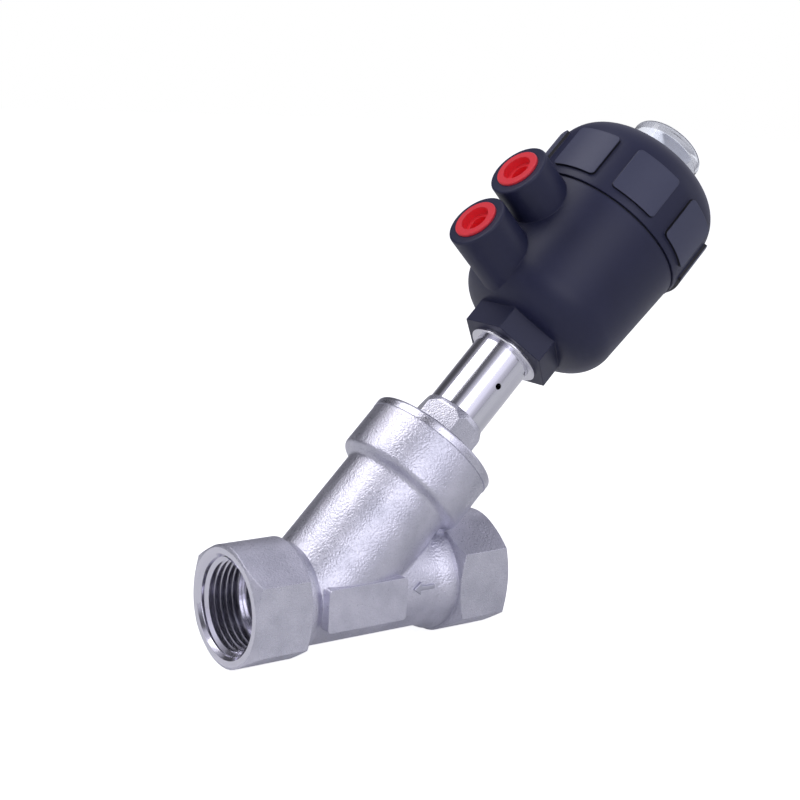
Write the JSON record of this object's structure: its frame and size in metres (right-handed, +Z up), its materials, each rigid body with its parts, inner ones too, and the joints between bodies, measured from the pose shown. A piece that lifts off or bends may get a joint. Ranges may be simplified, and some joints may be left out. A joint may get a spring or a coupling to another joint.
{
  "type": "pneumatic angle seat valve",
  "caption": "Stainless angle seat valve, DN 25 with G 1 threaded ends, driven by a black plastic piston actuator with a sight dome and two plugged air ports.",
  "frame": {"origin": "centre of the outlet end face, on the pipe axis", "axes": "+X along the pipe axis from the outlet to the inlet, +Z up, square to the pipe in the plane of the leaning stem, +Y away from the front pad"},
  "size_m": [0.1973, 0.0686, 0.1822],
  "materials": {
    "cast_stainless": "fine cast, bead-blasted",
    "satin_stainless": "turned satin",
    "polished_tube": "polished",
    "bright_stainless": "turned bright",
    "spring_steel": "drawn wire",
    "actuator_plastic": "fine matte mould texture",
    "cap_plastic": "fine matte mould texture",
    "clear_dome": "clear, polished",
    "plug_red": "soft satin",
    "seal_ptfe": "smooth",
    "seal_rubber": "smooth",
    "bearing_plastic": "smooth",
    "piston_plastic": "smooth",
    "indicator_orange": "smooth"
  },
  "bodies": {
    "valve": {"valve_body": "cast_stainless", "bonnet_gasket": "seal_ptfe", "bonnet": "satin_stainless", "stem_guide_bush": "bearing_plastic", "packing_spring": "spring_steel", "packing_support_ring": "bright_stainless", "packing_rings": "seal_ptfe", "gland_bush": "bright_stainless", "spacer_tube": "polished_tube", "tube_collar": "bright_stainless", "actuator_lock_nut": "bright_stainless", "rod_bush": "bearing_plastic", "rod_seal": "seal_rubber"},
    "actuator": {"actuator_housing": "actuator_plastic", "tube_seal": "seal_rubber", "actuator_cap": "cap_plastic", "cap_seal": "seal_rubber", "sight_dome": "clear_dome", "dome_seal": "seal_rubber", "closing_spring": "spring_steel"},
    "stem": {"stem": "bright_stainless", "valve_disc": "bright_stainless", "seat_seal": "seal_ptfe", "disc_washer": "bright_stainless", "disc_nut": "bright_stainless", "piston": "piston_plastic", "piston_guide_ring": "bearing_plastic", "piston_lip_seal": "seal_rubber", "piston_washer": "bright_stainless", "piston_nut": "bright_stainless", "indicator_rod": "indicator_orange"},
    "open_port_plug": {"port_plug_open": "plug_red"},
    "close_port_plug": {"port_plug_close": "plug_red"}
  },
  "joints": [
    {"name": "actuator_swivel", "type": "hinge", "parent": "valve", "child": "actuator", "pos_m": [0.036, 0, 0], "axis": [0.7071, 0, 0.7071], "continuous": true},
    {"name": "stem_lift", "type": "slide", "parent": "valve", "child": "stem", "axis": [0.7071, 0, 0.7071], "range_m": [0, 0.012], "stiffness_N_per_m": 15000, "springref_m": -0.025, "deforming": ["closing_spring"]},
    {"name": "open_plug_pull", "type": "slide", "parent": "actuator", "child": "open_port_plug", "axis": [-0.7071, 0, 0.7071], "range_m": [0, 0.014]},
    {"name": "close_plug_pull", "type": "slide", "parent": "actuator", "child": "close_port_plug", "axis": [-0.7071, 0, 0.7071], "range_m": [0, 0.014]}
  ]
}
